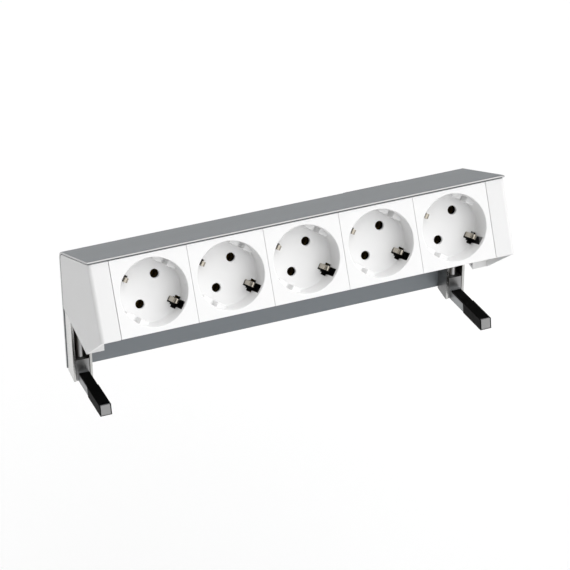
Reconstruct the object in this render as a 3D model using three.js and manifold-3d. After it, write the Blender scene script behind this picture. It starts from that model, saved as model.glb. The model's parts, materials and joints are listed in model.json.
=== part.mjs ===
// Desk-edge power strip: five earthed sockets in a sloped panel under an aluminium cover
// profile, held to the desk by two clamp legs with screw-driven jaws.
//
// Millimetres. +X runs along the strip to the viewer's right, +Y to the rear, +Z up.
// The origin is on the desk top, at the desk's rear edge, midway along the strip.

import * as THREE from 'three';
import { mergeVertices } from 'three/addons/utils/BufferGeometryUtils.js';
import Module from 'manifold-3d';

const wasm = await Module();
wasm.setup();

// ---------------------------------------------------------------- driving dimensions

const MODULE_SIZE = 45;
const MODULE_COUNT = 5;
const CAP_WIDTH = 12;
const SEAM = 0.3;

const PANEL_TILT = THREE.MathUtils.degToRad(27.25);
const PANEL_TOP_Y = -47.4;
const PANEL_TOP_Z = 71.4;
const FACE_THICKNESS = 2.4;
const ROOF_TILT = THREE.MathUtils.degToRad(28.4);

const RECESS_RADIUS = 19.5;
const RECESS_DEPTH = 15;
const CUP_RADIUS = 22;
const CUP_DEPTH = 17;
const PIN_SPACING = 19;
const PIN_HOLE_RADIUS = 2.6;
const PIN_AXIS_ANGLE = THREE.MathUtils.degToRad(54);
const EARTH_AXIS_ANGLE = PIN_AXIS_ANGLE + Math.PI / 2;

const PLATE = 1.1;
const LIP_OVERHANG = 0.9;
const LIP_GAP = 0.4;
const REAR_PLATE = 1.8;
const REAR_Y = 15;
const REAR_BOTTOM_Z = -44.4;
const REAR_CORNER_RADIUS = 10;

const CAP_WALL = 1.8;
const CAP_FOOT_WIDTH = 10.7;
const CAP_FOOT_FRONT_Y = -33.9;
const CAP_FOOT_HEIGHT = 11;
const CAP_EDGE_RADIUS = 2.4;

const LEG_CENTRE_X = 118.25;
const LEG_WIDTH = 11.7;
const LEG_WALL = 1.5;
const LEG_DEPTH = 12.9;
const LEG_WEB = 1.8;
const LEG_BOTTOM_Z = -45.2;
const LEG_TAB_TOP_Z = 33;
const SHELF_THICKNESS = 3;
const SPINDLE_Y = 5.6;
const SPINDLE_RADIUS = 2.5;
const RUNNING_GAP = 0.3;

const JAW_TILT = THREE.MathUtils.degToRad(10.8);
const JAW_TOP_Z = -30;
const ARM_ROOT_Z = -38.3;
const ARM_LENGTH = 46.6;
const ARM_HEIGHT = 6.8;
const SLEEVE_WIDTH = 7;
const ARM_WIDTH = 6.2;
const SLEEVE_START = 20;
const PAD_START = 2;
const PAD_THICKNESS = 1.3;
const SLEEVE_WALL = 0.5;
const TIP_LENGTH = 1.2;

const INLET_X = 67.5;
const INLET_Z = 24;

// Worked-out sizes
const STRIP_LENGTH = MODULE_SIZE * MODULE_COUNT + 2 * CAP_WIDTH;
const HALF_LENGTH = STRIP_LENGTH / 2;
const HALF_FACE = (MODULE_SIZE - SEAM) / 2;
const HALF_ROW = (MODULE_SIZE * MODULE_COUNT) / 2;
const REAR_INNER_Y = REAR_Y - REAR_PLATE;
const SIDES = [
  { name: 'left', sign: -1 },
  { name: 'right', sign: 1 },
];

// ---------------------------------------------------------------- materials

const FINISHES = {
  anodised: { color: 0x8d9296, roughness: 0.38, metalness: 0.9 },
  whitePlastic: { color: 0xf0f0f1, roughness: 0.42, metalness: 0 },
  greyPlastic: { color: 0x9a9c9e, roughness: 0.6, metalness: 0 },
  blackPlastic: { color: 0x1c1c1d, roughness: 0.5, metalness: 0 },
  nickel: { color: 0xb3ab9d, roughness: 0.3, metalness: 1 },
  brass: { color: 0xb59a5a, roughness: 0.35, metalness: 1 },
  castZinc: { color: 0xa6a9ac, roughness: 0.45, metalness: 0.9 },
  steel: { color: 0x9b9da0, roughness: 0.3, metalness: 1 },
  rubber: { color: 0x0d0d0e, roughness: 0.75, metalness: 0 },
  brownWire: { color: 0x5a3620, roughness: 0.5, metalness: 0 },
  blueWire: { color: 0x2c4f8c, roughness: 0.5, metalness: 0 },
  greenWire: { color: 0x5f8f2f, roughness: 0.5, metalness: 0 },
};

const strip = new THREE.Group();
const panel = new THREE.Group();
panel.rotation.x = -PANEL_TILT;
panel.position.set(
  0,
  PANEL_TOP_Y - HALF_FACE * Math.sin(PANEL_TILT),
  PANEL_TOP_Z - HALF_FACE * Math.cos(PANEL_TILT),
);
strip.add(panel);
strip.updateMatrixWorld(true);

function addPart(name, geometry, finish, parent = strip) {
  const mesh = new THREE.Mesh(geometry, new THREE.MeshStandardMaterial(FINISHES[finish]));
  mesh.name = name;
  parent.add(mesh);
  return mesh;
}

// ---------------------------------------------------------------- solid helpers

function solidOf(geometry) {
  const bare = geometry.clone();
  bare.deleteAttribute('normal');
  bare.deleteAttribute('uv');
  const merged = mergeVertices(bare, 1e-4);
  return new wasm.Manifold(new wasm.Mesh({
    numProp: 3,
    vertProperties: new Float32Array(merged.attributes.position.array),
    triVerts: new Uint32Array(merged.index.array),
  }));
}

function geometryOf(solid) {
  const mesh = solid.getMesh();
  const geometry = new THREE.BufferGeometry();
  geometry.setAttribute('position', new THREE.BufferAttribute(mesh.vertProperties, 3));
  geometry.setIndex(new THREE.BufferAttribute(mesh.triVerts, 1));
  return geometry;
}

function joined(...solids) {
  return solids.reduce((whole, next) => whole.add(next));
}

function cut(solid, ...cutters) {
  return cutters.reduce((rest, cutter) => rest.subtract(cutter), solid);
}

function block([x0, x1], [y0, y1], [z0, z1], transform = new THREE.Matrix4()) {
  const geometry = new THREE.BoxGeometry(x1 - x0, y1 - y0, z1 - z0);
  geometry.translate((x0 + x1) / 2, (y0 + y1) / 2, (z0 + z1) / 2);
  geometry.applyMatrix4(transform);
  return solidOf(geometry);
}

// A cylinder along +Y from y0 to y1.
function rodAlongY(radius, [y0, y1], x, z, segments = 24) {
  const geometry = new THREE.CylinderGeometry(radius, radius, y1 - y0, segments);
  geometry.translate(x, (y0 + y1) / 2, z);
  return solidOf(geometry);
}

// A body of revolution about +Y: each point is [radius, y].
function turnedAlongY(points, x = 0, z = 0, segments = 24) {
  const profile = points.map(([radius, y]) => new THREE.Vector2(radius, y));
  const geometry = new THREE.LatheGeometry(profile, segments);
  geometry.translate(x, 0, z);
  return solidOf(geometry);
}

// The same, about +Z: each point is [radius, z].
function turnedAlongZ(points, x, y, segments = 24) {
  const profile = points.map(([radius, z]) => new THREE.Vector2(radius, z));
  const geometry = new THREE.LatheGeometry(profile, segments);
  geometry.rotateX(Math.PI / 2);
  geometry.translate(x, y, 0);
  return solidOf(geometry);
}

// An outline drawn in the Y-Z plane, run along X from x0 to x1.
function runAlongX(shape, [x0, x1], curveSegments = 8) {
  const geometry = new THREE.ExtrudeGeometry(shape, {
    depth: x1 - x0, bevelEnabled: false, curveSegments,
  });
  geometry.applyMatrix4(new THREE.Matrix4().set(
    0, 0, 1, x0,
    1, 0, 0, 0,
    0, 1, 0, 0,
    0, 0, 0, 1,
  ));
  return solidOf(geometry);
}

// A closed outline around a bent strip of the given thickness.
function stripOutline(path, thickness) {
  const points = path.map(([u, v]) => new THREE.Vector2(u, v));
  const side = (offset) => points.map((point, i) => {
    const before = points[Math.max(i - 1, 0)];
    const after = points[Math.min(i + 1, points.length - 1)];
    const into = point.clone().sub(before).normalize();
    const out = after.clone().sub(point).normalize();
    if (i === 0) into.copy(out);
    if (i === points.length - 1) out.copy(into);
    const normal = new THREE.Vector2(-(into.y + out.y), into.x + out.x).normalize();
    const stretch = 1 / Math.max(normal.dot(new THREE.Vector2(-into.y, into.x)), 0.3);
    return point.clone().addScaledVector(normal, offset * stretch);
  });
  return new THREE.Shape([...side(thickness / 2), ...side(-thickness / 2).reverse()]);
}

// A point of the panel's own frame (y into the panel, z up along it) in the Y-Z plane.
function panelPoint(y, z) {
  const point = panel.localToWorld(new THREE.Vector3(0, y, z));
  return new THREE.Vector2(point.y, point.z);
}

// A point of the roof's own frame in the Y-Z plane: depth runs down the roof to the rear from
// the panel's top edge, and height is square to it.
function roofPoint(depth, height) {
  return new THREE.Vector2(
    PANEL_TOP_Y + depth * Math.cos(ROOF_TILT) + height * Math.sin(ROOF_TILT),
    PANEL_TOP_Z - depth * Math.sin(ROOF_TILT) + height * Math.cos(ROOF_TILT),
  );
}

function span(centre, halfWidth) {
  return [centre - halfWidth, centre + halfWidth];
}

// ---------------------------------------------------------------- screws

const SCREW_HEAD_RADIUS = 2.8;
const SCREW_SHANK_RADIUS = 1.5;
const SCREW_CONE = 1.6;
const SCREW_LENGTH = 6.2;
const SCREW_FACE_Y = REAR_Y - 0.1;

function screwSolid(x, z) {
  const body = turnedAlongY([
    [0, SCREW_FACE_Y - SCREW_LENGTH],
    [SCREW_SHANK_RADIUS, SCREW_FACE_Y - SCREW_LENGTH],
    [SCREW_SHANK_RADIUS, SCREW_FACE_Y - SCREW_CONE],
    [SCREW_HEAD_RADIUS, SCREW_FACE_Y],
    [0, SCREW_FACE_Y],
  ], x, z, 20);
  const slot = [SCREW_FACE_Y - 1, SCREW_FACE_Y + 1];
  return cut(
    body,
    block(span(x, 1.6), slot, span(z, 0.35)),
    block(span(x, 0.35), slot, span(z, 1.6)),
  );
}

function screwHole(x, z) {
  return turnedAlongY([
    [0, REAR_Y - 12],
    [SCREW_SHANK_RADIUS + RUNNING_GAP, REAR_Y - 12],
    [SCREW_SHANK_RADIUS + RUNNING_GAP, SCREW_FACE_Y - SCREW_CONE],
    [SCREW_HEAD_RADIUS + RUNNING_GAP, SCREW_FACE_Y],
    [SCREW_HEAD_RADIUS + RUNNING_GAP, REAR_Y + 1],
    [0, REAR_Y + 1],
  ], x, z, 20);
}

const COVER_SCREW_X = 95;
const COVER_SCREW_Z = 8.4;
const LEG_SCREW_HEIGHTS = [
  { name: 'upper', z: 26 },
  { name: 'lower', z: 8.4 },
];
const SCREWS = [];
for (const side of SIDES) {
  SCREWS.push({
    name: `cover_screw_${side.name}`, x: side.sign * COVER_SCREW_X, z: COVER_SCREW_Z,
  });
  for (const height of LEG_SCREW_HEIGHTS) {
    SCREWS.push({
      name: `leg_screw_${side.name}_${height.name}`,
      x: side.sign * LEG_CENTRE_X,
      z: height.z,
    });
  }
}
for (const screw of SCREWS) {
  addPart(screw.name, geometryOf(screwSolid(screw.x, screw.z)), 'steel');
}

// ---------------------------------------------------------------- cover profile

const COVER_TOP = LIP_GAP + PLATE;
const COVER_UNDER = LIP_GAP;

// The centre of the round corner that joins a line along the roof to a rear plane.
function rearCornerCentre(height, rearY, radius) {
  const inner = height - radius;
  const start = roofPoint(0, inner);
  return roofPoint((rearY - radius - start.x) / Math.cos(ROOF_TILT), inner);
}

const SLOPE_NORMAL = Math.PI / 2 - ROOF_TILT;

function coverOutline() {
  const outer = rearCornerCentre(COVER_TOP, REAR_Y, REAR_CORNER_RADIUS);
  const innerRadius = REAR_CORNER_RADIUS - REAR_PLATE;
  const inner = rearCornerCentre(COVER_UNDER, REAR_INNER_Y, innerRadius);
  const lipTop = roofPoint(-LIP_OVERHANG + 0.4, COVER_TOP);
  const lipFrontHigh = roofPoint(-LIP_OVERHANG, COVER_TOP - 0.4);
  const lipFrontLow = roofPoint(-LIP_OVERHANG, COVER_UNDER + 0.4);
  const lipUnder = roofPoint(-LIP_OVERHANG + 0.4, COVER_UNDER);
  const shape = new THREE.Shape();
  shape.moveTo(lipFrontHigh.x, lipFrontHigh.y);
  shape.lineTo(lipTop.x, lipTop.y);
  shape.absarc(outer.x, outer.y, REAR_CORNER_RADIUS, SLOPE_NORMAL, 0, true);
  shape.lineTo(REAR_Y, REAR_BOTTOM_Z);
  shape.lineTo(REAR_INNER_Y, REAR_BOTTOM_Z);
  shape.absarc(inner.x, inner.y, innerRadius, 0, SLOPE_NORMAL, false);
  shape.lineTo(lipUnder.x, lipUnder.y);
  shape.lineTo(lipFrontLow.x, lipFrontLow.y);
  shape.closePath();
  return shape;
}

const INLET_BODY = { halfX: 14.5, halfZ: 11 };

const coverBlank = runAlongX(coverOutline(), [-HALF_LENGTH, HALF_LENGTH]);
const inletWindow = block(
  span(INLET_X, INLET_BODY.halfX + RUNNING_GAP),
  [REAR_INNER_Y - 1, REAR_Y + 1],
  span(INLET_Z, INLET_BODY.halfZ + RUNNING_GAP),
);
const rearHoles = SCREWS.map((screw) => screwHole(screw.x, screw.z));
addPart('cover_profile', geometryOf(cut(coverBlank, inletWindow, ...rearHoles)), 'anodised');

// ---------------------------------------------------------------- socket modules

const CUP_HALF_HEIGHT = 20.4;
const RIB = { inner: 16.3, start: 6.5, notchHalf: 1.8, halfWidth: 7.2 };
const EARTH_WALL_SLOT = { radial: [12.9, 22.6], start: 2.7, halfWidth: 2.4 };
const EARTH_FLOOR_SLOT = { radial: [16.4, 20.2], start: 12.5, halfWidth: 3.7 };

// Turns a shape drawn along +X to the given angle in the module's face.
function aroundY(angle) {
  return new THREE.Matrix4().makeRotationY(-angle);
}

function earthSlot(slot, angle) {
  return block(
    slot.radial, [slot.start, CUP_DEPTH + 1], span(0, slot.halfWidth), aroundY(angle),
  );
}

function socketSolid() {
  const faceX = span(0, HALF_FACE);
  const face = block(faceX, [0, FACE_THICKNESS], span(0, HALF_FACE));
  const cupRound = rodAlongY(CUP_RADIUS, [1, CUP_DEPTH], 0, 0, 48);
  const cup = cupRound.intersect(block(faceX, [0, CUP_DEPTH], span(0, CUP_HALF_HEIGHT)));
  const recess = turnedAlongY([
    [0, -1],
    [RECESS_RADIUS + 0.5, -1],
    [RECESS_RADIUS + 0.5, 0],
    [RECESS_RADIUS, 0.5],
    [RECESS_RADIUS, RECESS_DEPTH - 1.2],
    [RECESS_RADIUS - 0.35, RECESS_DEPTH - 0.35],
    [RECESS_RADIUS - 1.2, RECESS_DEPTH],
    [0, RECESS_DEPTH],
  ], 0, 0, 48);
  const ribs = [];
  const openings = [];
  for (const turn of [0, Math.PI]) {
    const radial = [RIB.inner, RECESS_RADIUS + 0.6];
    const depth = [RIB.start, RECESS_DEPTH + 0.5];
    for (const width of [[RIB.notchHalf, RIB.halfWidth], [-RIB.halfWidth, -RIB.notchHalf]]) {
      ribs.push(block(radial, depth, width, aroundY(PIN_AXIS_ANGLE + turn)));
    }
    openings.push(earthSlot(EARTH_WALL_SLOT, EARTH_AXIS_ANGLE + turn));
    openings.push(earthSlot(EARTH_FLOOR_SLOT, EARTH_AXIS_ANGLE + turn));
    const pinX = (PIN_SPACING / 2) * Math.cos(PIN_AXIS_ANGLE + turn);
    const pinZ = (PIN_SPACING / 2) * Math.sin(PIN_AXIS_ANGLE + turn);
    openings.push(rodAlongY(
      PIN_HOLE_RADIUS, [RECESS_DEPTH - 1, CUP_DEPTH + 1], pinX, pinZ, 20,
    ));
  }
  return cut(joined(face, cup), cut(recess, ...ribs), ...openings);
}

const EARTH_STRIP_WIDTH = 2.8;
const EARTH_STRIP_ANGLE = EARTH_AXIS_ANGLE + THREE.MathUtils.degToRad(2.5);
const EARTH_STRIP_THICKNESS = 0.7;
const EARTH_CROSS_DEPTH = 19.6;

function earthContactSolid() {
  const arm = [
    [17.8, 8.6], [17.1, 6.9], [15.9, 6.3], [14.7, 7.5], [14, 9.4], [13.9, EARTH_CROSS_DEPTH],
  ];
  const path = [...arm, ...[...arm].reverse().map(([radius, depth]) => [-radius, depth])];
  const geometry = new THREE.ExtrudeGeometry(stripOutline(path, EARTH_STRIP_THICKNESS), {
    depth: EARTH_STRIP_WIDTH, bevelEnabled: false,
  });
  geometry.translate(0, 0, -EARTH_STRIP_WIDTH / 2);
  geometry.applyMatrix4(aroundY(EARTH_STRIP_ANGLE));
  return solidOf(geometry);
}

const HOUSING_HALF = 20.2;
const HOUSING_WALL = 1.6;
const HOUSING_FRONT = CUP_DEPTH + 0.4;
const HOUSING_REAR = 31;

function contactHousingSolid() {
  const inner = span(0, HOUSING_HALF - HOUSING_WALL);
  const shell = cut(
    block(span(0, HOUSING_HALF), [HOUSING_FRONT, HOUSING_REAR], span(0, HOUSING_HALF)),
    block(inner, [HOUSING_FRONT - 1, HOUSING_REAR - HOUSING_WALL], inner),
  );
  const stripWindow = block(
    span(0, HOUSING_HALF + 1), [20.1, HOUSING_REAR - HOUSING_WALL], span(0, 12),
  );
  return cut(shell, stripWindow);
}

const socketGeometry = geometryOf(socketSolid());
const earthContactGeometry = geometryOf(earthContactSolid());
const housingGeometry = geometryOf(contactHousingSolid());
const moduleCentres = [];
for (let i = 0; i < MODULE_COUNT; i += 1) {
  moduleCentres.push((i - (MODULE_COUNT - 1) / 2) * MODULE_SIZE);
}
moduleCentres.forEach((x, i) => {
  addPart(`socket_insert_${i + 1}`, socketGeometry, 'whitePlastic', panel).position.x = x;
  addPart(`earth_contact_${i + 1}`, earthContactGeometry, 'nickel', panel).position.x = x;
  addPart(`contact_housing_${i + 1}`, housingGeometry, 'blackPlastic', panel).position.x = x;
});

// ---------------------------------------------------------------- busbars

const PIN_X = (PIN_SPACING / 2) * Math.cos(PIN_AXIS_ANGLE);
const PIN_Z = (PIN_SPACING / 2) * Math.sin(PIN_AXIS_ANGLE);
const BAR_DEPTH = [28, 28.8];
const EARTH_BAR_DEPTH = [20.4, 21.2];
const BAR_END_X = 98;
const SLEEVE_DEPTH = [22, 28.4];

function pinBusbarSolid(sign) {
  const bar = block([-BAR_END_X, BAR_END_X], BAR_DEPTH, span(sign * PIN_Z, 3));
  const sleeves = moduleCentres.map((centre) => {
    const x = centre + sign * PIN_X;
    const tube = rodAlongY(3.3, SLEEVE_DEPTH, x, sign * PIN_Z, 16);
    const bore = rodAlongY(2.5, [21, 27.9], x, sign * PIN_Z, 16);
    const slit = block(span(x, 0.5), [21, 26], span(sign * PIN_Z, 5));
    return cut(tube, bore, slit);
  });
  return joined(bar, ...sleeves);
}

addPart('line_busbar', geometryOf(pinBusbarSolid(1)), 'brass', panel);
addPart('neutral_busbar', geometryOf(pinBusbarSolid(-1)), 'brass', panel);
const earthBar = block([-BAR_END_X, BAR_END_X], EARTH_BAR_DEPTH, span(0, 2.2));
addPart('earth_busbar', geometryOf(earthBar), 'brass', panel);

// ---------------------------------------------------------------- module carrier

const CARRIER_WALL = 1;
const CARRIER_HALF_HEIGHT = 21.65;
const CARRIER_FRONT = FACE_THICKNESS + 0.3;
const CARRIER_REAR = 33;
const CARRIER_END_X = HALF_ROW - 0.2;
const WIRE_RADIUS = 1.2;

const carrierLength = [-CARRIER_END_X, CARRIER_END_X];
const carrierBlank = cut(
  block(carrierLength, [CARRIER_FRONT, CARRIER_REAR], span(0, CARRIER_HALF_HEIGHT)),
  block(
    [-CARRIER_END_X - 1, CARRIER_END_X + 1],
    [CARRIER_FRONT - 1, CARRIER_REAR - 1.6],
    span(0, CARRIER_HALF_HEIGHT - CARRIER_WALL),
  ),
);
const WIRE_HEIGHTS = { line: PIN_Z, neutral: -PIN_Z, earth: 0 };
const wireHoles = Object.values(WIRE_HEIGHTS).map((z) => (
  rodAlongY(WIRE_RADIUS + 0.5, [CARRIER_REAR - 3, CARRIER_REAR + 1], INLET_X, z, 16)
));
addPart('module_carrier', geometryOf(cut(carrierBlank, ...wireHoles)), 'anodised', panel);

// ---------------------------------------------------------------- bottom cover

const COVER_SHEET = 1.8;
const FLOOR_Z = 5.2;
const bottomPath = [
  [25, -CARRIER_HALF_HEIGHT - 1.4],
  [36, -CARRIER_HALF_HEIGHT - 1.4],
].map(([y, z]) => panelPoint(y, z).toArray());
bottomPath.push([-30, FLOOR_Z]);
bottomPath.push([REAR_INNER_Y - RUNNING_GAP - COVER_SHEET / 2, FLOOR_Z]);
bottomPath.push([REAR_INNER_Y - RUNNING_GAP - COVER_SHEET / 2, 11.8]);
const bottomSheet = runAlongX(stripOutline(bottomPath, COVER_SHEET), carrierLength);
addPart('bottom_cover', geometryOf(cut(bottomSheet, ...rearHoles)), 'greyPlastic');

// ---------------------------------------------------------------- supply inlet and wires

const INLET_FLANGE = { halfX: 17, halfZ: 13.5, y: [REAR_Y + 0.3, REAR_Y + 1.9] };
const INLET_CAVITY = { halfX: 12, halfZ: 8, depth: 17 };
const INLET_INNER_Y = -8;
const INLET_PINS = [
  { name: 'line', x: 7, z: -2 },
  { name: 'earth', x: 0, z: 2 },
  { name: 'neutral', x: -7, z: -2 },
];
const INLET_PIN = { halfX: 1, halfZ: 2, rear: -13, tip: 11.4 };

function inletPinBlock(pin, grow, y) {
  return block(
    span(INLET_X + pin.x, INLET_PIN.halfX + grow),
    y,
    span(INLET_Z + pin.z, INLET_PIN.halfZ + grow),
  );
}

const inletBody = block(
  span(INLET_X, INLET_BODY.halfX),
  [INLET_INNER_Y, INLET_FLANGE.y[0] + 0.5],
  span(INLET_Z, INLET_BODY.halfZ),
);
const inletFlange = block(
  span(INLET_X, INLET_FLANGE.halfX), INLET_FLANGE.y, span(INLET_Z, INLET_FLANGE.halfZ),
);
const inletCavity = block(
  span(INLET_X, INLET_CAVITY.halfX),
  [INLET_FLANGE.y[1] - INLET_CAVITY.depth, INLET_FLANGE.y[1] + 1],
  span(INLET_Z, INLET_CAVITY.halfZ),
);
const inletPinHoles = INLET_PINS.map((pin) => (
  inletPinBlock(pin, RUNNING_GAP, [INLET_INNER_Y - 1, 1])
));
const inletSolid = cut(joined(inletBody, inletFlange), inletCavity, ...inletPinHoles);
addPart('supply_inlet', geometryOf(inletSolid), 'blackPlastic');
for (const pin of INLET_PINS) {
  const solid = inletPinBlock(pin, 0, [INLET_PIN.rear, INLET_PIN.tip]);
  addPart(`inlet_pin_${pin.name}`, geometryOf(solid), 'nickel');
}

// Each wire runs straight out of the carrier and turns into its inlet pin's tail.
const WIRE_FINISHES = { line: 'brownWire', neutral: 'blueWire', earth: 'greenWire' };
for (const pin of INLET_PINS) {
  const barDepth = pin.name === 'earth' ? EARTH_BAR_DEPTH[1] : BAR_DEPTH[1];
  const height = WIRE_HEIGHTS[pin.name];
  const fromPanel = (depth) => panel.localToWorld(new THREE.Vector3(INLET_X, depth, height));
  const tail = new THREE.Vector3(INLET_X + pin.x, INLET_PIN.rear - 0.3, INLET_Z + pin.z);
  const route = new THREE.CatmullRomCurve3([
    fromPanel(barDepth + 0.3),
    fromPanel(CARRIER_REAR),
    fromPanel(CARRIER_REAR + 2.5),
    tail.clone().add(new THREE.Vector3(0, -3, 0)),
    tail,
  ]);
  const section = new THREE.Shape().absarc(0, 0, WIRE_RADIUS, 0, Math.PI * 2, false);
  const wire = new THREE.ExtrudeGeometry(section, {
    steps: 20, curveSegments: 5, extrudePath: route,
  });
  addPart(`wire_${pin.name}`, geometryOf(solidOf(wire)), WIRE_FINISHES[pin.name]);
}

// ---------------------------------------------------------------- end caps

const CAP_INNER_X = HALF_ROW + 0.15;
const CAP_FOOT_INNER_X = HALF_LENGTH - CAP_FOOT_WIDTH;
const CAP_REAR_Y = REAR_INNER_Y - 0.3;
const FOOT_REAR_Y = -0.4;

// The cap's side outline.
function capOutline() {
  const radius = REAR_CORNER_RADIUS - REAR_PLATE - 0.3;
  const corner = rearCornerCentre(0, CAP_REAR_Y, radius);
  const frontLow = panelPoint(0, -HALF_FACE);
  const frontTop = roofPoint(0, 0);
  const shape = new THREE.Shape();
  shape.moveTo(frontLow.x, frontLow.y);
  shape.lineTo(frontTop.x, frontTop.y);
  shape.absarc(corner.x, corner.y, radius, SLOPE_NORMAL, 0, true);
  shape.lineTo(CAP_REAR_Y, 0);
  shape.lineTo(CAP_FOOT_FRONT_Y, 0);
  shape.closePath();
  return shape;
}

// The hollow behind the side wall. It leaves the front strip, the top, and a foot with an
// upright front wall, and it is open between the front strip and the foot.
function capHollow() {
  const radius = REAR_CORNER_RADIUS - REAR_PLATE - 0.3 - CAP_WALL;
  const corner = rearCornerCentre(-CAP_WALL, CAP_REAR_Y - CAP_WALL, radius);
  const frontLow = panelPoint(CAP_WALL, -HALF_FACE - 12);
  const frontTop = panelPoint(CAP_WALL, HALF_FACE - CAP_WALL);
  const footInnerY = CAP_FOOT_FRONT_Y + CAP_WALL;
  const shape = new THREE.Shape();
  shape.moveTo(frontLow.x, frontLow.y);
  shape.lineTo(frontTop.x, frontTop.y);
  shape.absarc(corner.x, corner.y, radius, SLOPE_NORMAL, 0, true);
  shape.lineTo(CAP_REAR_Y - CAP_WALL, CAP_WALL);
  shape.lineTo(footInnerY, CAP_WALL);
  shape.lineTo(footInnerY, CAP_FOOT_HEIGHT);
  shape.lineTo(CAP_FOOT_FRONT_Y, CAP_FOOT_HEIGHT);
  shape.lineTo(CAP_FOOT_FRONT_Y, -2);
  shape.closePath();
  return shape;
}

// What is cut off the cap's outer front edge to leave it round.
function capEdgeCutter() {
  const shape = new THREE.Shape();
  shape.moveTo(HALF_LENGTH + 1, -1);
  shape.lineTo(HALF_LENGTH + 1, CAP_EDGE_RADIUS);
  shape.lineTo(HALF_LENGTH, CAP_EDGE_RADIUS);
  shape.absarc(
    HALF_LENGTH - CAP_EDGE_RADIUS, CAP_EDGE_RADIUS, CAP_EDGE_RADIUS, 0, -Math.PI / 2, true,
  );
  shape.lineTo(HALF_LENGTH - CAP_EDGE_RADIUS, -1);
  shape.closePath();
  const geometry = new THREE.ExtrudeGeometry(shape, {
    depth: 60, bevelEnabled: false, curveSegments: 5,
  });
  geometry.translate(0, 0, -30);
  geometry.applyMatrix4(panel.matrixWorld);
  return solidOf(geometry);
}

function endCapSolid() {
  const outer = runAlongX(capOutline(), [CAP_INNER_X, HALF_LENGTH]);
  const hollow = runAlongX(capHollow(), [CAP_INNER_X - 1, HALF_LENGTH - CAP_WALL]);
  const legMouth = block(
    [CAP_INNER_X - 1, HALF_LENGTH - CAP_WALL], [FOOT_REAR_Y, CAP_REAR_Y + 1], [-1, 40],
  );
  const footSide = block([CAP_INNER_X - 1, CAP_FOOT_INNER_X], [-80, 20], [-1, 12]);
  return cut(outer, hollow, legMouth, footSide, capEdgeCutter());
}

function mirroredX(solid) {
  const geometry = geometryOf(solid);
  const position = geometry.attributes.position;
  for (let i = 0; i < position.count; i += 1) {
    position.setX(i, -position.getX(i));
  }
  const index = geometry.index.array;
  for (let i = 0; i < index.length; i += 3) {
    [index[i + 1], index[i + 2]] = [index[i + 2], index[i + 1]];
  }
  return geometry;
}

const capSolid = endCapSolid();
addPart('end_cap_left', mirroredX(capSolid), 'whitePlastic');
addPart('end_cap_right', geometryOf(capSolid), 'whitePlastic');

// ---------------------------------------------------------------- clamp legs

const LEG_TOP_Z = -0.4;
const LEG_X = span(LEG_CENTRE_X, LEG_WIDTH / 2);
const LEG_CAVITY_X = span(LEG_CENTRE_X, LEG_WIDTH / 2 - LEG_WALL);
const LEG_WEB_Y = [LEG_DEPTH - LEG_WEB, LEG_DEPTH];

function legSolid() {
  const channel = cut(
    block(LEG_X, [0, LEG_DEPTH], [LEG_BOTTOM_Z, LEG_TOP_Z]),
    block(LEG_CAVITY_X, [-1, LEG_WEB_Y[0]], [LEG_BOTTOM_Z - 1, LEG_TOP_Z - SHELF_THICKNESS]),
  );
  const tab = block(span(LEG_CENTRE_X - 1, 4), LEG_WEB_Y, [LEG_TOP_Z - 1, LEG_TAB_TOP_Z]);
  const shelfHole = turnedAlongZ([
    [0, LEG_TOP_Z - SHELF_THICKNESS - 1],
    [SPINDLE_RADIUS + RUNNING_GAP, LEG_TOP_Z - SHELF_THICKNESS - 1],
    [SPINDLE_RADIUS + RUNNING_GAP, LEG_TOP_Z + 1],
    [0, LEG_TOP_Z + 1],
  ], LEG_CENTRE_X, SPINDLE_Y);
  const screwHoles = LEG_SCREW_HEIGHTS.map((height) => screwHole(LEG_CENTRE_X, height.z));
  return cut(joined(channel, tab), shelfHole, ...screwHoles);
}

const SPINDLE_BOTTOM_Z = LEG_BOTTOM_Z + 0.4;
const SPINDLE_HEAD = { radius: 3.7, z: [LEG_TOP_Z + 0.2, LEG_TOP_Z + 2.8] };
const RING_Z = [LEG_TOP_Z - SHELF_THICKNESS - 1.2, LEG_TOP_Z - SHELF_THICKNESS - 0.2];
const HEX_RADIUS = 1.5;

function spindleSolid() {
  const body = turnedAlongZ([
    [0, SPINDLE_BOTTOM_Z],
    [SPINDLE_RADIUS - 0.5, SPINDLE_BOTTOM_Z],
    [SPINDLE_RADIUS, SPINDLE_BOTTOM_Z + 0.6],
    [SPINDLE_RADIUS, SPINDLE_HEAD.z[0]],
    [SPINDLE_HEAD.radius, SPINDLE_HEAD.z[0]],
    [SPINDLE_HEAD.radius, SPINDLE_HEAD.z[1]],
    [0, SPINDLE_HEAD.z[1]],
  ], LEG_CENTRE_X, SPINDLE_Y);
  const hexSocket = turnedAlongZ([
    [0, SPINDLE_BOTTOM_Z - 1],
    [HEX_RADIUS, SPINDLE_BOTTOM_Z - 1],
    [HEX_RADIUS, SPINDLE_BOTTOM_Z + 3],
    [0, SPINDLE_BOTTOM_Z + 3],
  ], LEG_CENTRE_X, SPINDLE_Y, 6);
  return cut(body, hexSocket);
}

function ringSolid() {
  return turnedAlongZ([
    [SPINDLE_RADIUS + RUNNING_GAP, RING_Z[0]],
    [SPINDLE_RADIUS + 1.4, RING_Z[0]],
    [SPINDLE_RADIUS + 1.4, RING_Z[1]],
    [SPINDLE_RADIUS + RUNNING_GAP, RING_Z[1]],
    [SPINDLE_RADIUS + RUNNING_GAP, RING_Z[0]],
  ], LEG_CENTRE_X, SPINDLE_Y);
}

// ---------------------------------------------------------------- clamp jaws

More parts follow.
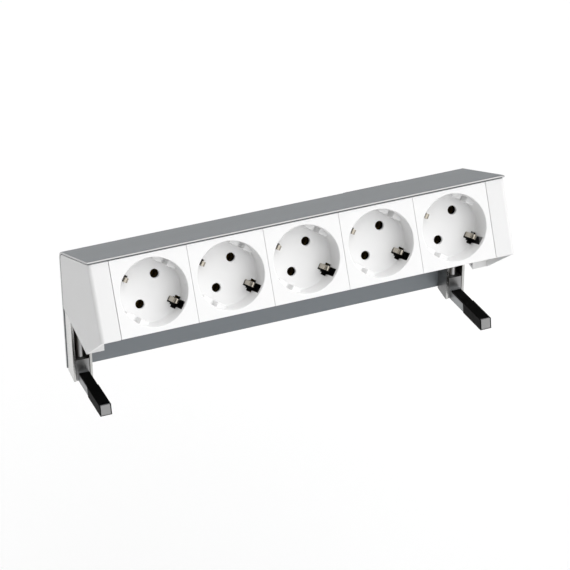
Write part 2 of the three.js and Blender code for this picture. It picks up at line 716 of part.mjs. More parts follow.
// The arm's own frame: -Y runs forward along the arm, +Z is square to its pad.
const ARM_PLACE = new THREE.Matrix4()
  .makeTranslation(LEG_CENTRE_X, 0, ARM_ROOT_Z)
  .multiply(new THREE.Matrix4().makeRotationX(-JAW_TILT));
const BLOCK_WIDTH = LEG_WIDTH - 2 * LEG_WALL - 0.5;
const TIP_WIDTH = SLEEVE_WIDTH - 2 * SLEEVE_WALL - 0.3;
const CORE_TOP = -PAD_THICKNESS;
const CORE_BOTTOM = -ARM_HEIGHT + SLEEVE_WALL;

function armBlock(width, y, z, grow = 0) {
  return block(
    span(0, width / 2 + grow), y, [z[0] - grow, z[1] + grow], ARM_PLACE,
  );
}

function jawSolid() {
  const slider = block(
    span(LEG_CENTRE_X, BLOCK_WIDTH / 2), [0.2, LEG_WEB_Y[0] - 0.4], [-45, JAW_TOP_Z],
  );
  const root = armBlock(ARM_WIDTH, [-SLEEVE_START, 3], [-ARM_HEIGHT, CORE_TOP]);
  const ledge = armBlock(ARM_WIDTH, [-PAD_START + 0.3, 3], [-ARM_HEIGHT, 0]);
  const core = armBlock(TIP_WIDTH, [-ARM_LENGTH, -SLEEVE_START + 1], [CORE_BOTTOM, CORE_TOP]);
  const tip = armBlock(TIP_WIDTH, [-ARM_LENGTH, -ARM_LENGTH + TIP_LENGTH], [CORE_BOTTOM, 0]);
  const bore = turnedAlongZ([
    [0, -60],
    [SPINDLE_RADIUS + RUNNING_GAP, -60],
    [SPINDLE_RADIUS + RUNNING_GAP, 0],
    [0, 0],
  ], LEG_CENTRE_X, SPINDLE_Y);
  const trimmed = joined(root, ledge).subtract(block(
    span(LEG_CENTRE_X, 10), [-80, 20], [-60, -45.1],
  ));
  return cut(joined(slider, trimmed, core, tip), bore);
}

function sleeveSolid() {
  const gap = 0.2;
  const grip = armBlock(
    SLEEVE_WIDTH, [-ARM_LENGTH + 0.1, -SLEEVE_START - 0.3], [-ARM_HEIGHT, 0],
  );
  const pad = armBlock(ARM_WIDTH, [-SLEEVE_START - 2, -PAD_START], [CORE_TOP + gap, 0]);
  const hollow = armBlock(
    TIP_WIDTH, [-ARM_LENGTH - 1, -SLEEVE_START + 1], [CORE_BOTTOM, CORE_TOP], gap,
  );
  const tipNotch = armBlock(
    TIP_WIDTH, [-ARM_LENGTH - 1, -ARM_LENGTH + TIP_LENGTH + 0.2], [CORE_BOTTOM, 2], gap,
  );
  return cut(joined(grip, pad), hollow, tipNotch);
}

const CLAMP_PIECES = [
  { name: 'clamp_leg', solid: legSolid(), finish: 'castZinc' },
  { name: 'clamp_spindle', solid: spindleSolid(), finish: 'steel' },
  { name: 'spindle_ring', solid: ringSolid(), finish: 'steel' },
  { name: 'clamp_jaw', solid: jawSolid(), finish: 'castZinc' },
  { name: 'jaw_sleeve', solid: sleeveSolid(), finish: 'rubber' },
];
for (const piece of CLAMP_PIECES) {
  addPart(`${piece.name}_left`, mirroredX(piece.solid), piece.finish);
  addPart(`${piece.name}_right`, geometryOf(piece.solid), piece.finish);
}

export default strip;
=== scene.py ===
import json
import math

import bmesh
import bpy
from mathutils import Matrix, Vector

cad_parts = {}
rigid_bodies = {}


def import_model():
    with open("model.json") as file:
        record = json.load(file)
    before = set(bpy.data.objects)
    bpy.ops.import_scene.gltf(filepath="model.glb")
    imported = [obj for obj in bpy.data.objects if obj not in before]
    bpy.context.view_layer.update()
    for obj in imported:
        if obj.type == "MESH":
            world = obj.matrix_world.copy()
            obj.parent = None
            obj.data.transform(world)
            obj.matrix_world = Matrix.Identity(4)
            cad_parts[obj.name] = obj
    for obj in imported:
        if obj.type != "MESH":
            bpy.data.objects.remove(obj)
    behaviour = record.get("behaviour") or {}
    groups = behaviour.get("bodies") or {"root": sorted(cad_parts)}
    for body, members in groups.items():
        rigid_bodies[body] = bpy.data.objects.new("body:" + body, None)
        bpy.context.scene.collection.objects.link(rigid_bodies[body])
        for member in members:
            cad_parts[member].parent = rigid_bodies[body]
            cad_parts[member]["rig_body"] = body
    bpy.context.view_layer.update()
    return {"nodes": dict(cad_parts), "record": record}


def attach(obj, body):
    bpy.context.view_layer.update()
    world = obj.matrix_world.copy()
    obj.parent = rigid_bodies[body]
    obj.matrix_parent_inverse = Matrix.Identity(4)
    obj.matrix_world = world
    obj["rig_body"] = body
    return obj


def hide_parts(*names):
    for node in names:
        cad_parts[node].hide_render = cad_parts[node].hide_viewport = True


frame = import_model()
NODES = frame["nodes"]
MM = 0.001

# ---------------------------------------------------------------- sizes, in millimetres

TILT = math.radians(27.25)
ROOF = math.radians(28.4)
HALF_FACE = 22.35
PANEL_TOP_Y = -47.4
PANEL_TOP_Z = 71.4
PANEL_Y = PANEL_TOP_Y - HALF_FACE * math.sin(TILT)
PANEL_Z = PANEL_TOP_Z - HALF_FACE * math.cos(TILT)
PANEL = Matrix.Translation((0, PANEL_Y * MM, PANEL_Z * MM)) @ Matrix.Rotation(-TILT, 4, "X")
PITCH = 45.0
MODULES = [(i - 2) * PITCH for i in range(5)]
HALF_LENGTH = 124.5
SIDES = (("left", -1), ("right", 1))
PIN_ANGLE = math.radians(54)
EARTH_ANGLE = PIN_ANGLE + math.pi / 2
LEG_X = 118.25
SPINDLE_Y = 5.6
INLET_X = 67.5
INLET_Z = 24.0


def panel_point(y, z):
    """A point of the panel's own frame, as (Y, Z) in the row frame."""
    return (
        PANEL_Y + y * math.cos(TILT) + z * math.sin(TILT),
        PANEL_Z - y * math.sin(TILT) + z * math.cos(TILT),
    )


def roof_point(depth, height):
    """A point of the roof's own frame, from the panel's top edge, as (Y, Z)."""
    return (
        PANEL_TOP_Y + depth * math.cos(ROOF) + height * math.sin(ROOF),
        PANEL_TOP_Z - depth * math.sin(ROOF) + height * math.cos(ROOF),
    )


# ---------------------------------------------------------------- materials


NOISE_DETAIL = 4
ROUGHNESS_SPREAD = 0.12
RELIEF_DEPTH = 0.0001


def srgb(value):
    """A linear colour from an sRGB grey or triple of 0 to 255."""
    triple = (value,) * 3 if isinstance(value, (int, float)) else value
    return tuple((c / 255) ** 2.2 for c in triple) + (1.0,)


def material(name, colour, roughness, metallic=0.0, vary=0.04, scale=(60, 60, 60),
             bump=0.0, bump_scale=None, spec=0.5):
    """A principled material whose colour, roughness and bump follow a fine noise."""
    mat = bpy.data.materials.new(name)
    mat.use_nodes = True
    nodes, links = mat.node_tree.nodes, mat.node_tree.links
    nodes.clear()
    out = nodes.new("ShaderNodeOutputMaterial")
    shader = nodes.new("ShaderNodeBsdfPrincipled")
    links.new(shader.outputs[0], out.inputs[0])
    coords = nodes.new("ShaderNodeTexCoord")
    mapping = nodes.new("ShaderNodeMapping")
    mapping.inputs["Scale"].default_value = scale
    links.new(coords.outputs["Object"], mapping.inputs[0])
    noise = nodes.new("ShaderNodeTexNoise")
    noise.inputs["Scale"].default_value = 1.0
    noise.inputs["Detail"].default_value = NOISE_DETAIL
    links.new(mapping.outputs[0], noise.inputs["Vector"])
    tint = nodes.new("ShaderNodeMixRGB")
    base = srgb(colour)
    tint.inputs[1].default_value = tuple(c * (1 - vary) for c in base[:3]) + (1,)
    tint.inputs[2].default_value = tuple(min(c * (1 + vary), 1) for c in base[:3]) + (1,)
    links.new(noise.outputs[0], tint.inputs[0])
    links.new(tint.outputs[0], shader.inputs["Base Color"])
    span = nodes.new("ShaderNodeMapRange")
    span.inputs["To Min"].default_value = roughness * (1 - ROUGHNESS_SPREAD)
    span.inputs["To Max"].default_value = roughness * (1 + ROUGHNESS_SPREAD)
    links.new(noise.outputs[0], span.inputs["Value"])
    links.new(span.outputs[0], shader.inputs["Roughness"])
    shader.inputs["Metallic"].default_value = metallic
    shader.inputs["Specular IOR Level"].default_value = spec
    if bump:
        fine = noise
        if bump_scale:
            fine_map = nodes.new("ShaderNodeMapping")
            fine_map.inputs["Scale"].default_value = bump_scale
            links.new(coords.outputs["Object"], fine_map.inputs[0])
            fine = nodes.new("ShaderNodeTexNoise")
            fine.inputs["Scale"].default_value = 1.0
            fine.inputs["Detail"].default_value = NOISE_DETAIL
            links.new(fine_map.outputs[0], fine.inputs["Vector"])
        relief = nodes.new("ShaderNodeBump")
        relief.inputs["Strength"].default_value = bump
        relief.inputs["Distance"].default_value = RELIEF_DEPTH
        links.new(fine.outputs[0], relief.inputs["Height"])
        links.new(relief.outputs[0], shader.inputs["Normal"])
    return mat


GRAIN = (900, 900, 900)
MATS = {
    "aluminium_profile": material(
        "brushed_anodised", (119, 124, 128), 0.42, 0.45, vary=0.05, scale=(6, 900, 900),
        bump=0.25, bump_scale=(10, 2500, 2500)),
    "white_plastic": material(
        "white_plastic", 237, 0.38, vary=0.008, bump=0.03, bump_scale=GRAIN),
    "grey_plastic": material(
        "grey_plastic", 154, 0.6, bump=0.1, bump_scale=GRAIN),
    "black_plastic": material(
        "black_plastic", 30, 0.5, vary=0.1, bump=0.15, bump_scale=(1500,) * 3),
    "nickel_plate": material(
        "nickel_plate", (188, 181, 168), 0.26, 1.0, vary=0.08, scale=(400, 400, 400)),
    # brass_strip: brass darkened far below real brass, as painted shade, so the busbars seen
    # through the pin holes read black.
    "brass_strip": material(
        "brass_strip", (96, 80, 46), 0.45, 1.0, vary=0.08, scale=(300, 300, 300)),
    "cast_zinc": material(
        "leg_zinc", (190, 190, 188), 0.22, 1.0, vary=0.04, scale=(300, 300, 300),
        bump=0.08, bump_scale=(1800,) * 3),
    "steel": material(
        "zinc_plated_steel", 170, 0.3, 1.0, vary=0.08, scale=(500, 500, 500)),
    "rubber": material(
        "black_rubber", 2, 0.6, vary=0.15, scale=(500, 500, 500),
        bump=0.3, bump_scale=(2200,) * 3, spec=0.05),
    "brown_wire": material("brown_wire", (96, 58, 34), 0.5, vary=0.08),
    "blue_wire": material("blue_wire", (48, 84, 150), 0.5, vary=0.08),
    "green_wire": material("green_wire", (104, 150, 52), 0.5, vary=0.08),
}
# Bare aluminium for the cover's cut end faces, also used as a painted highlight on the cover's lip
# and on the top of the jaw tips.
CUT_END_AND_HIGHLIGHT = material("cut_aluminium_and_painted_highlight", 182, 0.4, 1.0, vary=0.03, scale=(40, 900, 900))
# Painted shade: dark metal for the inside of the legs' channels, where shade falls.
CHANNEL_PAINTED_SHADE = material(
    "channel_painted_shade", (104, 98, 92), 0.45, 1.0, vary=0.15, scale=(200, 200, 60))
# Painted shade: a greyer copy of the modules' white plastic for the end caps, to darken their
# sides.
CAP_PAINTED_SHADE_WHITE = material("cap_white", 229, 0.4, vary=0.008, bump=0.03, bump_scale=GRAIN)
# Painted shade and painted dark reflection: darker metal for the legs' sides that face inward,
# under the body.
LEG_INNER_PAINTED_SHADE = material(
    "leg_inner_side", (112, 112, 112), 0.36, 1.0, vary=0.08, scale=(300, 300, 60))
# Lighter metal for the bare front face of the jaw tip, also used as painted light on the slider in
# the channel, which the cap shades.
JAW_TIP_AND_SLIDER_LIGHT = material("jaw_tip", 153, 0.4, 1.0, vary=0.06, scale=(300, 300, 300))
JAW_CASTING = material(
    "jaw_casting", (136, 138, 140), 0.4, 1.0, vary=0.06, scale=(300, 300, 300),
    bump=0.25, bump_scale=(1600,) * 3)
SLOT_OF = {s["node"]: s["material_slot"] for s in frame["record"]["subparts"]}

# ---------------------------------------------------------------- mesh helpers


def mesh_piece(name, verts, faces):
    mesh = bpy.data.meshes.new(name)
    mesh.from_pydata([Vector(v) * MM for v in verts], [], faces)
    mesh.update()
    obj = bpy.data.objects.new(name, mesh)
    bpy.context.scene.collection.objects.link(obj)
    with_bmesh(obj, lambda bm: bmesh.ops.recalc_face_normals(bm, faces=bm.faces))
    return obj


def with_bmesh(obj, work):
    bm = bmesh.new()
    bm.from_mesh(obj.data)
    work(bm)
    bm.to_mesh(obj.data)
    bm.free()


def prism(name, outline, low, high, axis="X"):
    """An outline run from low to high: drawn in Y-Z for axis X, or in X-Z for axis Y."""
    if axis == "X":
        ends = [[(x, a, b) for a, b in outline] for x in (low, high)]
    elif axis == "Y":
        ends = [[(a, y, b) for a, b in outline] for y in (low, high)]
    else:
        ends = [[(a, b, z) for a, b in outline] for z in (low, high)]
    n = len(outline)
    sides = [(i, (i + 1) % n, n + (i + 1) % n, n + i) for i in range(n)]
    caps = [tuple(range(n)), tuple(range(2 * n - 1, n - 1, -1))]
    return mesh_piece(name, ends[0] + ends[1], sides + caps)


def box(name, xs, ys, zs):
    outline = [(xs[0], ys[0]), (xs[1], ys[0]), (xs[1], ys[1]), (xs[0], ys[1])]
    return prism(name, outline, zs[0], zs[1], "Z")


def turned(name, profile, axis="Y", segments=64):
    """A body of revolution: profile is [(radius, along)], from axis to axis."""
    verts, faces, rings = [], [], []
    for radius, along in profile:
        ring = []
        count = 1 if radius < 1e-6 else segments
        for k in range(count):
            turn = 2 * math.pi * k / segments
            a, b = radius * math.cos(turn), radius * math.sin(turn)
            ring.append(len(verts))
            verts.append((a, along, b) if axis == "Y" else (a, b, along))
        rings.append(ring)
    for low, high in zip(rings, rings[1:]):
        for k in range(segments):
            quad = [low[k % len(low)], low[(k + 1) % len(low)],
                    high[(k + 1) % len(high)], high[k % len(high)]]
            face = tuple(dict.fromkeys(quad))
            if len(face) > 2:
                faces.append(face)
    return mesh_piece(name, verts, faces)


def placed(obj, matrix):
    obj.data.transform(matrix)
    return obj


def moved(obj, x=0, y=0, z=0):
    return placed(obj, Matrix.Translation((x * MM, y * MM, z * MM)))


def boolean(obj, others, operation="DIFFERENCE"):
    """Applies booleans and deletes the cutters."""
    for other in others:
        modifier = obj.modifiers.new("cut", "BOOLEAN")
        modifier.operation = operation
        modifier.solver = "EXACT"
        modifier.object = other
    bake(obj)
    for other in others:
        bpy.data.objects.remove(other)
    return obj


def bake(obj):
    graph = bpy.context.evaluated_depsgraph_get()
    mesh = bpy.data.meshes.new_from_object(obj.evaluated_get(graph))
    obj.modifiers.clear()
    obj.data = mesh


def clean(obj, angle=0.5):
    def work(bm):
        bmesh.ops.remove_doubles(bm, verts=bm.verts, dist=1e-6)
        bmesh.ops.dissolve_limit(
            bm, angle_limit=math.radians(angle), verts=bm.verts, edges=bm.edges)
    with_bmesh(obj, work)


def bevel(obj, width, segments=2, angle=40):
    """Rounds every sharp edge."""
    modifier = obj.modifiers.new("round", "BEVEL")
    modifier.width = width * MM
    modifier.segments = segments
    modifier.limit_method = "ANGLE"
    modifier.angle_limit = math.radians(angle)
    modifier.use_clamp_overlap = True
    modifier.miter_outer = "MITER_ARC"
    bake(obj)


def smooth(obj, angle=32):
    """Smooth shading that stays crisp at sharp edges and flat on flat faces."""
    limit = math.radians(angle)

    def work(bm):
        for face in bm.faces:
            face.smooth = True
        for edge in bm.edges:
            edge.smooth = len(edge.link_faces) == 2 and edge.calc_face_angle(0) < limit
    with_bmesh(obj, work)
    modifier = obj.modifiers.new("normals", "WEIGHTED_NORMAL")
    modifier.mode = "FACE_AREA"
    modifier.keep_sharp = True
    bake(obj)


def hand_over(obj, nodes, slot=None):
    """Gives a piece its material and lets it stand for its CAD nodes."""
    nodes = [nodes] if isinstance(nodes, str) else nodes
    slot = slot or SLOT_OF[nodes[0]]
    obj.data.materials.clear()
    obj.data.materials.append(MATS[slot])
    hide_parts(*nodes)
    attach(obj, body_of(nodes[0]))
    return obj


def paint(obj, mat, chosen):
    """Gives a second material to the faces that chosen(centre, normal) picks, in millimetres."""
    obj.data.materials.append(mat)
    index = len(obj.data.materials) - 1
    for face in obj.data.polygons:
        if chosen(face.center / MM, face.normal):
            face.material_index = index


def body_of(node):
    return NODES[node]["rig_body"]


def around_centre(centre, half):
    return centre - half, centre + half


def arc(cx, cy, radius, start, end, steps):
    """Points on an arc, with angles in radians."""
    turns = [start + (end - start) * k / steps for k in range(steps + 1)]
    return [(cx + radius * math.cos(t), cy + radius * math.sin(t)) for t in turns]


def rounded(name, node, width, segments=2, angle=40):
    """A copy of a CAD node's solid with its edges rounded."""
    obj = bpy.data.objects.new(name, NODES[node].data.copy())
    bpy.context.scene.collection.objects.link(obj)
    clean(obj)
    bevel(obj, width, segments, angle)
    smooth(obj)
    return hand_over(obj, node)


# ---------------------------------------------------------------- cover profile

PLATE_TOP = 1.5
PLATE_UNDER = 0.4
REAR_Y = 15.0
REAR_INNER_Y = 13.2
REAR_BOTTOM = -44.4
REAR_PLATE = REAR_Y - REAR_INNER_Y
CORNER = 10.0
LIP = -0.9
LIP_RADIUS = 0.4
REAR_EDGE = 0.3
SLOPE = math.pi / 2 - ROOF


def corner_centre(height, rear_y, radius):
    """Centre of the round corner between a line along the roof and a rear plane."""
    inner = height - radius
    return roof_point((rear_y - radius - roof_point(0, inner)[0]) / math.cos(ROOF), inner)


def screw_hole(x, z):
    hole = turned("hole", [(0, 3), (1.8, 3), (1.8, 13.3), (3.1, 14.9), (3.1, 16), (0, 16)],
                  segments=40)
    return moved(hole, x, 0, z)


COVER_SCREW_X = 95.0
LOW_SCREW_Z = 8.4
HIGH_SCREW_Z = 26.0
SCREWS = {}
for side, sign in SIDES:
    SCREWS[f"cover_screw_{side}"] = (sign * COVER_SCREW_X, LOW_SCREW_Z)
    SCREWS[f"leg_screw_{side}_upper"] = (sign * LEG_X, HIGH_SCREW_Z)
    SCREWS[f"leg_screw_{side}_lower"] = (sign * LEG_X, LOW_SCREW_Z)


def lip_round(height, along, start, end):
    """A rounded edge of the lip, turned into the roof's frame."""
    points = arc(0, 0, LIP_RADIUS, start, end, 5)
    return [roof_point(along + a, height + b) for a, b in points]


def cover_profile():
    outer = corner_centre(PLATE_TOP, REAR_Y, CORNER)
    inner_radius = CORNER - REAR_PLATE
    inner = corner_centre(PLATE_UNDER, REAR_INNER_Y, inner_radius)
    round_at = LIP + LIP_RADIUS
    outline = lip_round(PLATE_UNDER + LIP_RADIUS, round_at, -math.pi / 2, -math.pi)
    outline += lip_round(PLATE_TOP - LIP_RADIUS, round_at, math.pi, math.pi / 2)
    outline += arc(*outer, CORNER, SLOPE, 0, 28)
    outline += [
        (REAR_Y, REAR_BOTTOM + REAR_EDGE),
        (REAR_Y - REAR_EDGE, REAR_BOTTOM),
        (REAR_INNER_Y + REAR_EDGE, REAR_BOTTOM),
        (REAR_INNER_Y, REAR_BOTTOM + REAR_EDGE),
    ]
    outline += arc(*inner, inner_radius, 0, SLOPE, 20)
    piece = prism("cover_profile_skin", outline, -HALF_LENGTH, HALF_LENGTH)
    window = box("window", around_centre(INLET_X, 14.8), (12, 16), around_centre(INLET_Z, 11.3))
    boolean(piece, [window] + [screw_hole(x, z) for x, z in SCREWS.values()])
    smooth(piece, 28)
    hand_over(piece, "cover_profile")

    # Picks the lip, which gets a painted highlight, and the cut end faces of bare aluminium.
    def lip_highlight_and_cut_ends(centre, normal):
        back, up = centre.y - PANEL_TOP_Y, centre.z - PANEL_TOP_Z
        depth = back * math.cos(ROOF) - up * math.sin(ROOF)
        height = back * math.sin(ROOF) + up * math.cos(ROOF)
        lip = depth < LIP + 0.45 and height > PLATE_UNDER + 0.25
        return lip or abs(normal.x) > 0.9
    paint(piece, CUT_END_AND_HIGHLIGHT, lip_highlight_and_cut_ends)


cover_profile()

# ---------------------------------------------------------------- socket modules

RECESS = 19.5
RIM = 0.5
FOOT_ROUND = 1.3
FACE_X = 22.42
DEPTH = 15.0
PIN_REACH = 9.5
STRIP_TURN = math.radians(2.5)


def around(obj, angle):
    return placed(obj, Matrix.Rotation(-angle, 4, "Y"))


def recess_cutter():
    rim = [(RECESS + RIM - RIM * math.sin(t), RIM - RIM * math.cos(t))
           for t in (0, 0.4, 0.8, 1.2, math.pi / 2)]
    foot = [(RECESS - 1.5 + FOOT_ROUND * math.cos(t), DEPTH - FOOT_ROUND + FOOT_ROUND * math.sin(t))
            for t in (0, 0.3, 0.6, 0.9, 1.2, math.pi / 2)]
    profile = [(0, -1), (RECESS + RIM, -1)] + rim + foot + [(0, DEPTH)]
    return turned("recess", profile, segments=128)


def rib(angle, low, high):
    """A guide rib on the recess wall, rounded along its inner and top edges."""
    piece = box("rib", (16.3, 20.1), (6.5, 15.6), (low, high))
    bevel(piece, 0.45, 3)
    return around(piece, angle)


def socket_insert():
    face = box("socket", (-FACE_X, FACE_X), (0, 2.4), (-HALF_FACE, HALF_FACE - 0.1))
    bevel(face, 0.15, 2)
    cup = turned("cup", [(0, 1), (22, 1), (22, 16.6), (21.6, 17), (0, 17)], segments=128)
    trim = box("trim", (-HALF_FACE, HALF_FACE), (0, 20), (-20.4, 20.4))
    boolean(cup, [trim], "INTERSECT")
    boolean(face, [cup], "UNION")
    cutter = recess_cutter()
    ribs = []
    holes = []
    for turn in (0, math.pi):
        ribs.append(rib(PIN_ANGLE + turn, 1.8, 7.2))
        ribs.append(rib(PIN_ANGLE + turn, -7.2, -1.8))
        wall_slot = box("slot", (15.4, 22.6), (2.7, 18), (-2.4, 2.4))
        strip_slot = box("slot", (13.3, 16), (2.7, 18), (-1.7, 1.7))
        floor_slot = box("slot", (16.4, 20.2), (12.5, 18), (-3.7, 3.7))
        holes += [around(slot, EARTH_ANGLE + turn) for slot in (wall_slot, strip_slot, floor_slot)]
        hole = turned("hole", [(0, 14), (2.9, 14), (2.9, 15), (2.6, 15.3), (2.6, 18), (0, 18)],
                      segments=48)
        x = PIN_REACH * math.cos(PIN_ANGLE + turn)
        z = PIN_REACH * math.sin(PIN_ANGLE + turn)
        holes.append(moved(hole, x, 0, z))
    boolean(cutter, ribs)
    boolean(face, [cutter])
    boolean(face, holes)
    smooth(face, 34)
    return face


def earth_contact():
    """A sprung strip with softly bent arms and rounded tips."""
    arm = [(17.8, 8.6), (17.4, 7.4), (16.9, 6.7), (16.3, 6.4), (15.7, 6.4), (15.1, 6.8),
           (14.5, 7.7), (14.1, 8.8), (14.0, 9.8), (13.9, 18.6), (13.6, 19.3), (12.9, 19.6)]
    path = arm + [(-r, d) for r, d in reversed(arm)]
    half = 0.35
    left, right = [], []
    for i, (r, d) in enumerate(path):
        before, after = path[max(i - 1, 0)], path[min(i + 1, len(path) - 1)]
        run = Vector((after[0] - before[0], after[1] - before[1])).normalized()
        left.append((r - run.y * half, d + run.x * half))
        right.append((r + run.y * half, d - run.x * half))
    piece = prism("earth", left + right[::-1], -1.4, 1.4, "Z")
    bevel(piece, 0.15, 2, 50)
    smooth(piece, 34)
    return around(piece, EARTH_ANGLE + STRIP_TURN)


def copy_of(obj, name):
    twin = bpy.data.objects.new(name, obj.data.copy())
    bpy.context.scene.collection.objects.link(twin)
    return twin


insert_master = socket_insert()
earth_master = earth_contact()
for number, x in enumerate(MODULES, 1):
    spot = PANEL @ Matrix.Translation((x * MM, 0, 0))
    for master, name, node in (
        (insert_master, "socket_front", "socket_insert"),
        (earth_master, "earth_spring", "earth_contact"),
    ):
        piece = placed(copy_of(master, f"{name}_{number}"), spot)
        hand_over(piece, f"{node}_{number}")
bpy.data.objects.remove(insert_master)
bpy.data.objects.remove(earth_master)

# ---------------------------------------------------------------- end caps

CAP_INNER = 112.65
FOOT_INNER = 113.8
CAP_CLEARANCE = 0.3
CAP_REAR = REAR_INNER_Y - CAP_CLEARANCE
CAP_WALL = 1.8
FOOT_FRONT = -33.9
FOOT_HEIGHT = 11
FRONT_ROUND = 2.4


def cap_outline():
    radius = CORNER - REAR_PLATE - CAP_CLEARANCE
    corner = corner_centre(0, CAP_REAR, radius)
    outline = [panel_point(0, -HALF_FACE), roof_point(0, 0)]
    outline += arc(*corner, radius, SLOPE, 0, 16)
    return outline + [(CAP_REAR, 0), (FOOT_FRONT, 0)]


def cap_hollow():
    """The hollow behind the side wall: open below, between the front strip and the foot."""
    radius = CORNER - REAR_PLATE - CAP_CLEARANCE - CAP_WALL
    corner = corner_centre(-CAP_WALL, CAP_REAR - CAP_WALL, radius)
    outline = [panel_point(CAP_WALL, -HALF_FACE - 12), panel_point(CAP_WALL, HALF_FACE - CAP_WALL)]
    outline += arc(*corner, radius, SLOPE, 0, 12)
    inner = FOOT_FRONT + CAP_WALL
    return outline + [(CAP_REAR - CAP_WALL, CAP_WALL), (inner, CAP_WALL), (inner, FOOT_HEIGHT),
                      (FOOT_FRONT, FOOT_HEIGHT), (FOOT_FRONT, -2)]


def end_cap(side, sign):
    body = prism("cap", cap_outline(), CAP_INNER, HALF_LENGTH)

    def on_outer_front(point):
        depth = (point.y - PANEL_Y) * math.cos(TILT) - (point.z - PANEL_Z) * math.sin(TILT)
        return abs(point.x - HALF_LENGTH) < 0.01 and abs(depth) < 0.01

    def round_front(bm):
        edges = [e for e in bm.edges if all(on_outer_front(v.co / MM) for v in e.verts)]
        bmesh.ops.bevel(bm, geom=edges, offset=FRONT_ROUND * MM, offset_type="OFFSET",
                        segments=10, profile=0.5, affect="EDGES")
    with_bmesh(body, round_front)
    bevel(body, 0.35, 2, 35)
    hollow = prism("hollow", cap_hollow(), CAP_INNER - 1, HALF_LENGTH - CAP_WALL)
    mouth = box("mouth", (CAP_INNER - 1, HALF_LENGTH - CAP_WALL), (-0.4, CAP_REAR + 1), (-1, 40))
    foot = box("foot", (CAP_INNER - 1, FOOT_INNER), (-80, 20), (-1, 12))
    boolean(body, [hollow, mouth, foot])
    if sign < 0:
        placed(body, Matrix.Diagonal((-1, 1, 1, 1)))
        with_bmesh(body, lambda bm: bmesh.ops.reverse_faces(bm, faces=bm.faces))
    body.name = f"end_cap_{side}_shell"
    smooth(body, 34)
    hand_over(body, f"end_cap_{side}")
    # Painted shade: the cap takes the greyer copy of the white plastic.
    body.data.materials[0] = CAP_PAINTED_SHADE_WHITE


for side, sign in SIDES:
    end_cap(side, sign)

# ---------------------------------------------------------------- clamp screws


THREAD_PITCH = 0.8


def thread_profile(low, high, pitch, outer, inner):
    """Rings of a rolled thread, close enough to a helix at this size."""
    points = []
    count = int((high - low) / pitch)
    for k in range(count):
        z = low + k * pitch
        points += [(inner, z), (outer, z + pitch * 0.38), (outer, z + pitch * 0.55)]
    points.append((inner, low + count * pitch))
    return points


def spindle(side, sign):
    profile = [(0, -44.8), (2.0, -44.8), (2.05, -44.2)]
    profile += thread_profile(-44.0, -6.0, THREAD_PITCH, 2.5, 2.08)
    profile += [(2.5, -5.2), (2.5, -0.2), (3.5, -0.2), (3.7, 0.0), (3.7, 2.2), (3.5, 2.4), (0, 2.4)]
    piece = turned(f"clamp_screw_{side}", profile, "Z", 32)
    socket = turned("socket", [(0, -46), (1.5, -46), (1.5, -41.8), (0, -41.2)], "Z", 6)
    boolean(piece, [socket])
    moved(piece, sign * LEG_X, SPINDLE_Y, 0)
    smooth(piece, 50)
    return hand_over(piece, f"clamp_spindle_{side}")


for side, sign in SIDES:
    spindle(side, sign)
    leg = rounded(f"leg_channel_{side}", f"clamp_leg_{side}", 0.35, 3)
    # Painted shade inside each leg's channel.
    paint(leg, CHANNEL_PAINTED_SHADE, lambda c, n: (
        abs(abs(c.x) - LEG_X) < 4.4 and 0.3 < c.y < 11.3 and c.z < -3))
    # Painted shade and painted dark reflection on each leg's inward-facing side.
    paint(leg, LEG_INNER_PAINTED_SHADE, lambda c, n: n.x * sign < -0.9 and abs(c.x) < LEG_X - 5)
    jaw = rounded(f"jaw_casting_{side}", f"clamp_jaw_{side}", 0.35, 3)
    jaw.data.materials[0] = JAW_CASTING
    # Lighter metal on the bare front of the tip, and painted light on the slider, which sits in the
    # cap's shade.
    paint(jaw, JAW_TIP_AND_SLIDER_LIGHT, lambda c, n: c.y > -0.3 or c.y < -45 and n.y < -0.9)
    # Painted highlight on the bare metal at the top of each jaw tip.
    paint(jaw, CUT_END_AND_HIGHLIGHT, lambda c, n: c.y < -45 and n.z > 0.3)
    rounded(f"rubber_sleeve_{side}", f"jaw_sleeve_{side}", 0.12, 2)
    rounded(f"retaining_ring_{side}", f"spindle_ring_{side}", 0.12, 2)

# ---------------------------------------------------------------- screws and inlet

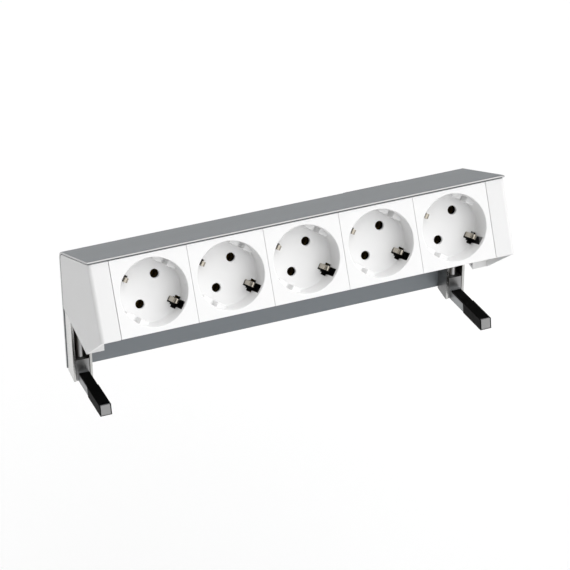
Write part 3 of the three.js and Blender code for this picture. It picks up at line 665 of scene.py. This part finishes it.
for name, (x, z) in SCREWS.items():
    head = turned(name + "_csk", [(0, 8.7), (1.3, 8.7), (1.5, 9.0), (1.5, 13.3), (2.75, 14.75),
                                  (2.8, 14.85), (2.75, 14.9), (0, 14.9)], segments=40)
    cross = [box("slot", (-1.6, 1.6), (13.9, 16), (-0.35, 0.35)),
             box("slot", (-0.35, 0.35), (13.9, 16), (-1.6, 1.6))]
    boolean(head, cross)
    moved(head, x, 0, z)
    smooth(head, 34)
    hand_over(head, name)

rounded("inlet_housing", "supply_inlet", 0.4, 3)
for pin in ("line", "neutral", "earth"):
    rounded(f"inlet_blade_{pin}", f"inlet_pin_{pin}", 0.3, 2)
rounded("bottom_cover_sheet", "bottom_cover", 0.3, 2)

# ---------------------------------------------------------------- carried-over CAD nodes

for node, obj in NODES.items():
    for slot in obj.material_slots:
        slot.material = MATS[SLOT_OF[node]]

# ---------------------------------------------------------------- floor, light, camera

FLOOR_Z = -0.40
bpy.ops.mesh.primitive_plane_add(size=40, location=(0, 0, FLOOR_Z))
floor = bpy.context.object
floor.name = "floor"
floor.data.materials.append(
    material("pale_floor", 255, 0.9, vary=0.004, scale=(3, 3, 3), spec=0.1))


def sun(name, towards, strength, softness):
    """A very soft distant light. At strength 1 a white surface that faces it shows full white."""
    light = bpy.data.lights.new(name, "SUN")
    light.energy = strength * math.pi
    light.angle = math.radians(softness)
    lamp = bpy.data.objects.new(name, light)
    lamp.rotation_euler = Vector(towards).to_track_quat("Z", "Y").to_euler()
    bpy.context.scene.collection.objects.link(lamp)


sun("key", (0.55, -0.75, 0.55), 0.6, 90)
sun("top", (0.2, -0.05, 1.0), 0.58, 90)

world = bpy.data.worlds.new("studio")
world.use_nodes = True
world.node_tree.nodes["Background"].inputs[0].default_value = (1, 1, 1, 1)
world.node_tree.nodes["Background"].inputs[1].default_value = 0.14
bpy.context.scene.world = world
bpy.context.scene.view_settings.view_transform = "Standard"

SENSOR = 36.0
LENS = 164.21052631578948
CAMERA_PLACE = (-0.41614939, -1.17023780, 0.90116490)
CAMERA_TURN = (0.94001308, 0.00284942, -0.34961700)
camera = bpy.data.cameras.new("camera")
camera.sensor_width = SENSOR
camera.lens = LENS
camera.clip_start = 0.01
camera.clip_end = 100
viewer = bpy.data.objects.new("camera", camera)
viewer.location = CAMERA_PLACE
viewer.rotation_euler = CAMERA_TURN
bpy.context.scene.collection.objects.link(viewer)
bpy.context.scene.camera = viewer
